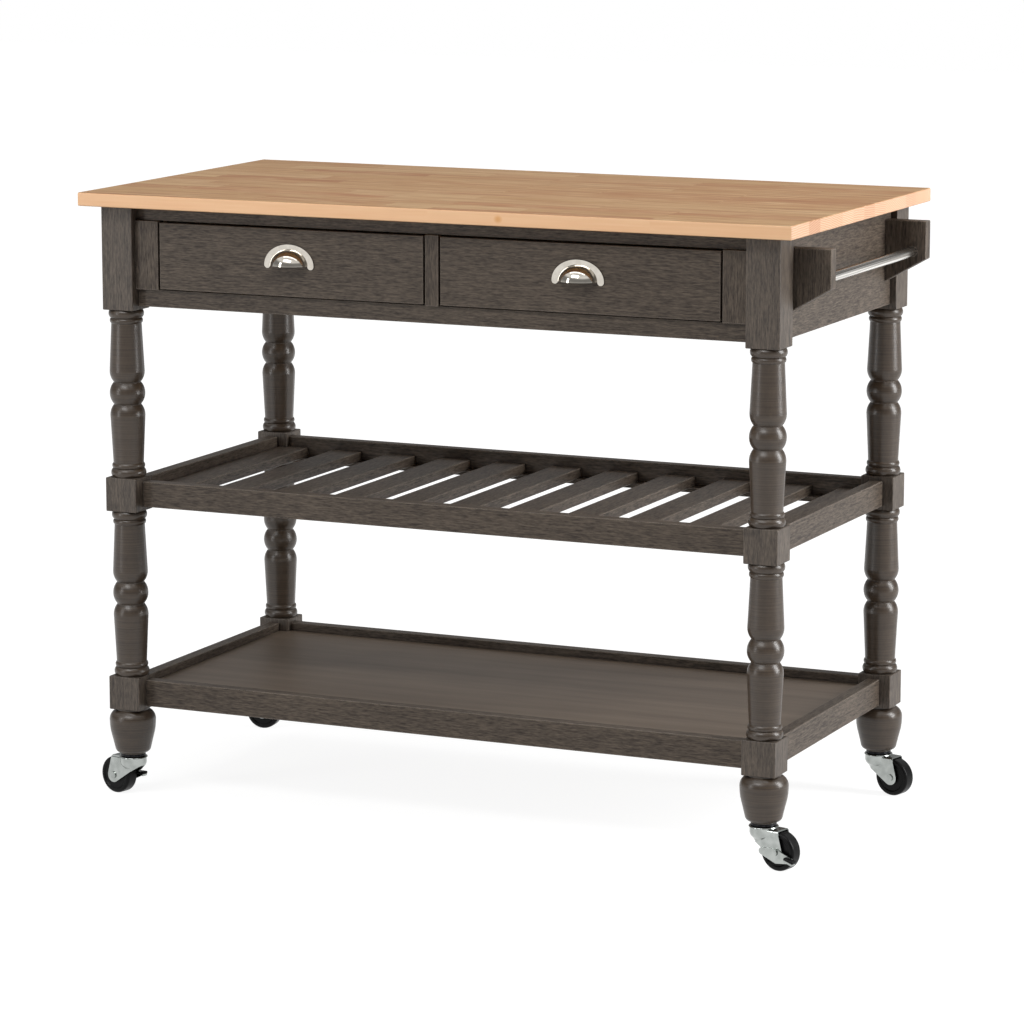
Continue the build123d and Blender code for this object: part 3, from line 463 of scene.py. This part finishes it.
gloss = add(tree, "MapRange", {}, {"Value": fibres, "To Min": 0.55, "To Max": 0.42})
relief = add(tree, "Bump", {}, {"Height": fibres, "Strength": 0.25, "Distance": FIBRE_RELIEF_MM * MM})
feed(tree, surface, {"Base Color": glued.outputs[MIXED_COLOUR], "Roughness": gloss.outputs["Result"],
                     "Normal": relief.outputs["Normal"]})
give(block, "worktop")

# %% [markdown]
# ## Plain wood inside
# The drawer boxes, runners, kickers and corner blocks are sanded, unstained wood under a thin clear
# coat. They are seen when a drawer is pulled out.

# %% Pale sanded wood
PLAIN_BAND_MM = (9, 200)
PLAIN_FIBRE_MM = (1.6, 30)


def plain_wood(name, grain):
    """Pale, sanded wood with its grain along one axis."""
    material, tree, surface = new_material(name)
    place = add(tree, "TexCoord").outputs["Object"]
    bands = along_grain(tree, place, grain, PLAIN_BAND_MM)
    fibres = along_grain(tree, place, grain, PLAIN_FIBRE_MM)
    tone = add(tree, "Mix", {}, {FACTOR: 0.35, NUMBER_A: bands, NUMBER_B: fibres})
    stretched = add(tree, "MapRange", {}, {"Value": tone.outputs[MIXED_NUMBER], "From Min": 0.35,
                                           "From Max": 0.65})
    shade = add(tree, "Mix", {"data_type": "RGBA"},
                {FACTOR: stretched.outputs["Result"], COLOUR_A: colour("#B08A62"),
                 COLOUR_B: colour("#CDAA80")})
    relief = add(tree, "Bump", {}, {"Height": fibres, "Strength": 0.25, "Distance": FIBRE_RELIEF_MM * MM})
    feed(tree, surface, {"Base Color": shade.outputs[MIXED_COLOUR], "Roughness": 0.5,
                         "Normal": relief.outputs["Normal"]})
    return material


give(plain_wood("sanded rubberwood, grain along X", "x"), "corner_blocks", "left_drawer_back",
     "right_drawer_back", "left_drawer_bottom", "right_drawer_bottom")
give(plain_wood("sanded rubberwood, grain along Y", "y"), "drawer_runners", "drawer_kickers",
     "left_drawer_sides", "right_drawer_sides")

# %% [markdown]
# ## Metals
# The cup pulls are polished nickel plate, the towel rod is brushed nickel, the caster forks and brake
# levers are bright zinc plate, the screws are bright steel, and the stems under the feet are blackened
# steel. Each is a full metal with its own colour and roughness. A fine noise breaks up the gloss as
# plating does, and dents the thin pressed sheet of the forks a little.

# %% Plated metals, and nickel first


def plated(name, pale, deep, roughness, grain_mm, dent_mm=0.0):
    """A plated metal: colour and gloss wander in a pattern of these sizes, which may also dent it."""
    material, tree, surface = new_material(name)
    place = add(tree, "TexCoord").outputs["Object"]
    mapped = add(tree, "Mapping", {}, {"Vector": place, "Scale": [repeats(size) for size in grain_mm]})
    grain = add(tree, "TexNoise", {}, {"Vector": mapped.outputs["Vector"], "Scale": 1.0, "Detail": 1.0})
    spread = add(tree, "MapRange", {}, {"Value": grain.outputs["Fac"], "From Min": 0.35, "From Max": 0.65})
    shade = add(tree, "Mix", {"data_type": "RGBA"},
                {FACTOR: spread.outputs["Result"], COLOUR_A: colour(deep), COLOUR_B: colour(pale)})
    gloss = add(tree, "MapRange", {}, {"Value": spread.outputs["Result"], "To Min": roughness * 1.25,
                                       "To Max": roughness * 0.8})
    feed(tree, surface, {"Base Color": shade.outputs[MIXED_COLOUR], "Roughness": gloss.outputs["Result"],
                         "Metallic": 1.0})
    if dent_mm:
        dents = add(tree, "Bump", {}, {"Height": grain.outputs["Fac"], "Strength": 1.0,
                                       "Distance": dent_mm * MM})
        feed(tree, surface, {"Normal": dents.outputs["Normal"]})
    return material


give(plated("polished nickel", "#D2CCC2", "#C8C2B8", 0.08, (9, 9, 9)),
     "left_drawer_pull", "right_drawer_pull")
give(plated("brushed nickel rod", "#EDEAE4", "#8E8880", 0.22, (1.6, 260, 1.6)), "towel_rod")

# %% Steel and zinc
give(plated("bright steel screws", "#B9B5AC", "#A39F96", 0.35, (2, 2, 2)), "top_screws",
     "left_drawer_pull_screws", "right_drawer_pull_screws")
give(plated("bright zinc plate", "#AEB2AF", "#9DA19E", 0.15, (13, 13, 13), dent_mm=0.3),
     "brake_lever_front_left", "brake_lever_front_right",
     *[f"caster_{piece}_{corner}" for piece in ("yoke", "axle") for corner in CORNERS])
give(plated("blackened steel", "#2B2B2D", "#1C1C1E", 0.42, (3, 3, 3)),
     *[f"caster_stem_{corner}" for corner in CORNERS])

# %% [markdown]
# ## Wheels
# The wheels are moulded from hard black rubber. They keep the fine pebbled skin of the mould, and dust
# makes them duller and a shade greyer in patches.

# %% Moulded black rubber
PEBBLE_MM = 1.5
PEBBLE_DEPTH_MM = 0.1
DUST_MM = 18

rubber, tree, surface = new_material("moulded black rubber")
place = add(tree, "TexCoord").outputs["Object"]
pebbles = add(tree, "TexNoise", {}, {"Vector": place, "Scale": repeats(PEBBLE_MM), "Detail": 2.0})
dust = add(tree, "TexNoise", {}, {"Vector": place, "Scale": repeats(DUST_MM), "Detail": 2.0})
shade = add(tree, "Mix", {"data_type": "RGBA"},
            {FACTOR: dust.outputs["Fac"], COLOUR_A: colour("#070707"), COLOUR_B: colour("#0E0E0F")})
gloss = add(tree, "MapRange", {}, {"Value": dust.outputs["Fac"], "To Min": 0.28, "To Max": 0.4})
relief = add(tree, "Bump", {}, {"Height": pebbles.outputs["Fac"], "Strength": 0.12,
                                "Distance": PEBBLE_DEPTH_MM * MM})
feed(tree, surface, {"Base Color": shade.outputs[MIXED_COLOUR], "Roughness": gloss.outputs["Result"],
                     "Normal": relief.outputs["Normal"], "Specular IOR Level": 0.13})
give(rubber, *[f"caster_wheel_{corner}" for corner in CORNERS])

# %% [markdown]
# ## Pedal pads
# A black rubber pad is pushed over the upper half of the pedal of each brake lever, where the foot
# presses, and the zinc shows below it. It is a rounded box, a little wider than the pedal, so it starts
# as a cube that is stretched and bevelled. The brake's own joint says where the lever turns and which
# way its axle points; the pad lies at the lever's reach from there. Each lever is on one side of its
# wheel, and its pedal falls by some degrees.

# %% Model the pads
PEDAL_REACH_MM = 29
PEDAL_WIDTH_MM = 9
LEVER_FACE_MM = 13.6
PAD_MM = (16.8, 9.8, 4.6)
PAD_ROUND_MM = 1.6
PAD_RISE_MM = 1.6
BRAKES = {"front_right": (1, 16), "front_left": (-1, -2)}

for corner, (side, fall) in BRAKES.items():
    joint = joints[f"brake_press_{corner}"]
    axle = Vector(joint["axis"])
    ahead = Vector((axle.y, -axle.x, 0))
    turn = Matrix((ahead, axle, (0, 0, 1))).transposed().to_4x4()
    slope = radians(fall)
    outwards = LEVER_FACE_MM + PEDAL_WIDTH_MM / 2
    local = MM * Vector((PEDAL_REACH_MM * cos(slope), -side * outwards, -PEDAL_REACH_MM * sin(slope)))
    form = bmesh.new()
    bmesh.ops.create_cube(form, size=1.0)
    bmesh.ops.scale(form, vec=[size * MM for size in PAD_MM], verts=form.verts)
    bmesh.ops.bevel(form, geom=form.edges[:], offset=PAD_ROUND_MM * MM, segments=4, affect="EDGES",
                    profile=0.5, material=-1)
    bmesh.ops.translate(form, vec=(0, 0, PAD_RISE_MM * MM), verts=form.verts)
    bmesh.ops.transform(form, verts=form.verts,
                        matrix=Matrix.Translation(joint["pos_m"]) @ turn @ Matrix.Translation(local)
                        @ Matrix.Rotation(slope, 4, "Y"))
    mesh = bpy.data.meshes.new(f"pedal_pad_{corner}")
    form.to_mesh(mesh)
    form.free()
    pad = bpy.data.objects.new(f"pedal_pad_{corner}", mesh)
    bpy.context.scene.collection.objects.link(pad)
    for face in mesh.polygons:
        face.use_smooth = True
    mesh.materials.append(rubber)
    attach(pad, f"brake_{corner}")
    print(pad.name, "has", len(mesh.polygons), "faces")

# %% [markdown]
# ## Camera
# The picture was taken from the right of the front, a little above the worktop, with a long lens, so
# upright lines stay nearly parallel. The place is measured from the middle of the worktop.

# %% Set the camera
CAMERA_RIGHT = 2.5406
CAMERA_AHEAD = 5.5668
CAMERA_HEIGHT = 1.5198
CAMERA_YAW = 0.4268
CAMERA_PITCH = 0.176
FOCAL_SHARE = 4.0584
SENSOR_MM = 36

low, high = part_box("worktop")
middle = (low + high) / 2
camera_data = bpy.data.cameras.new("camera")
camera_data.sensor_width = SENSOR_MM
camera_data.lens = FOCAL_SHARE * SENSOR_MM
camera = bpy.data.objects.new("camera", camera_data)
camera.location = (middle.x + CAMERA_RIGHT, middle.y - CAMERA_AHEAD, CAMERA_HEIGHT)
camera.rotation_euler = (pi / 2 - CAMERA_PITCH, 0, CAMERA_YAW)
bpy.context.scene.collection.objects.link(camera)
bpy.context.scene.camera = camera
print("lens", round(camera_data.lens, 1), "mm")

# %% [markdown]
# ## Studio lamps
# A tall soft lamp stands at the right end and lights the end faces, and a slim one at the front left
# draws the second bright line down the turnings. A wide one high in front lights the drawers and lets
# the worktop shade the rail under it, and one overhead lights the tops. A lamp is given by its azimuth
# in degrees, its distance, height, width and length in metres, and its power in watts.

# %% Lamps
TARGET = Vector((0, 0, 0.55))
LAMPS = {"key lamp": (10, 3.2, 1.6, 1.0, 2.2, 112), "front lamp": (-129, 4.0, 1.3, 0.6, 2.2, 29),
         "high lamp": (-98, 3.4, 3.7, 2.6, 1.0, 76), "top lamp": (-90, 0.9, 3.2, 3.2, 0.8, 19)}

for name, (azimuth, distance, height, width, length, power) in LAMPS.items():
    lamp_data = bpy.data.lights.new(name, "AREA")
    lamp_data.shape = "RECTANGLE"
    lamp_data.size = width
    lamp_data.size_y = length
    lamp_data.energy = power
    lamp = bpy.data.objects.new(name, lamp_data)
    lamp.location = (distance * cos(radians(azimuth)), distance * sin(radians(azimuth)), height)
    lamp.rotation_euler = (TARGET - lamp.location).to_track_quat("-Z", "Y").to_euler()
    bpy.context.scene.collection.objects.link(lamp)
    print(name, "of", power, "W")

# %% [markdown]
# ## World
# The world looks white to the camera, while the light that it gives the cart stays soft and plain.
# Polished metal shows little but what it mirrors, so it mirrors a grey wall under a bright ceiling, as
# the cards of a studio give it.

# %% White surroundings
WORLD_LIGHT = 0.22
CARD_TONES = [(0.0, "#C0C0C0"), (0.2, "#8C8C8C"), (0.42, "#8C8C8C"), (0.58, "#FFFFFF"), (1.0, "#D8D8D8")]

world = bpy.data.worlds.new("studio")
bpy.context.scene.world = world
world.use_nodes = True
tree = world.node_tree
tree.nodes.clear()
rays = add(tree, "LightPath").outputs
shows = add(tree, "Math", {"operation": "MAXIMUM"},
            {0: rays["Is Camera Ray"], 1: rays["Is Transmission Ray"]}).outputs[0]
soft = add(tree, "Background", {}, {"Color": colour("#FFFFFF"), "Strength": WORLD_LIGHT})
upwards = add(tree, "SeparateXYZ", {}, {"Vector": add(tree, "TexCoord").outputs["Generated"]}).outputs["Z"]
cards = add(tree, "ValToRGB", {}, {"Fac": upwards}, CARD_TONES)
mirrored = add(tree, "Background", {}, {"Color": cards.outputs["Color"], "Strength": 1.0})
white = add(tree, "Background", {}, {"Color": colour("#FFFFFF"), "Strength": 1.0})
unseen = add(tree, "MixShader", {}, {0: rays["Is Glossy Ray"], 1: soft.outputs[0], 2: mirrored.outputs[0]})
light = add(tree, "MixShader", {}, {0: shows, 1: unseen.outputs[0], 2: white.outputs[0]})
add(tree, "OutputWorld", {}, {"Surface": light.outputs[0]})
print("the world lights the cart at", WORLD_LIGHT, "of white")

# %% [markdown]
# ## Floor
# The floor is plain white paper. To the camera and in mirrors it glows almost white by itself and keeps
# a faint shadow under the cart, and from some metres off it is fully white, so no edge shows. To the
# light that it throws back at the cart it is pale paper.

# %% White floor
GLOW_NEAR = (1.0, 0.9)
GLOW_FAR = (3.0, 1.0)

floor_white = bpy.data.materials.new("white studio floor")
floor_white.use_nodes = True
tree = floor_white.node_tree
tree.nodes.clear()
rays = add(tree, "LightPath").outputs
shows = add(tree, "Math", {"operation": "MAXIMUM"},
            {0: rays["Is Camera Ray"], 1: rays["Is Transmission Ray"]}).outputs[0]
seen = add(tree, "Math", {"operation": "MAXIMUM"}, {0: shows, 1: rays["Is Glossy Ray"]}).outputs[0]
paper = add(tree, "BsdfDiffuse", {}, {"Color": colour("#D8D8D8")})
faint = add(tree, "BsdfDiffuse", {}, {"Color": colour("#898989")})
from_cart = add(tree, "VectorMath", {"operation": "LENGTH"}, {0: add(tree, "TexCoord").outputs["Object"]})
whiter = add(tree, "MapRange", {}, {"Value": from_cart.outputs["Value"], "From Min": GLOW_NEAR[0],
                                    "From Max": GLOW_FAR[0], "To Min": GLOW_NEAR[1],
                                    "To Max": GLOW_FAR[1]}).outputs["Result"]
glow = add(tree, "Emission", {}, {"Color": colour("#FFFFFF"), "Strength": whiter})
lit = add(tree, "AddShader", {}, {0: faint.outputs[0], 1: glow.outputs[0]})
both = add(tree, "MixShader", {}, {0: seen, 1: paper.outputs[0], 2: lit.outputs[0]})
add(tree, "OutputMaterial", {}, {"Surface": both.outputs[0]})
print("the floor glows at", GLOW_NEAR[1], "near the cart and at", GLOW_FAR[1], "from", GLOW_FAR[0], "m")

# %% Lay the floor
FLOOR_HALF = 15

form = bmesh.new()
bmesh.ops.create_grid(form, x_segments=1, y_segments=1, size=FLOOR_HALF)
mesh = bpy.data.meshes.new("floor")
form.to_mesh(mesh)
form.free()
mesh.materials.append(floor_white)
floor = bpy.data.objects.new("floor", mesh)
bpy.context.scene.collection.objects.link(floor)
bpy.context.scene.view_settings.view_transform = "Standard"
print("a floor", 2 * FLOOR_HALF, "m wide")
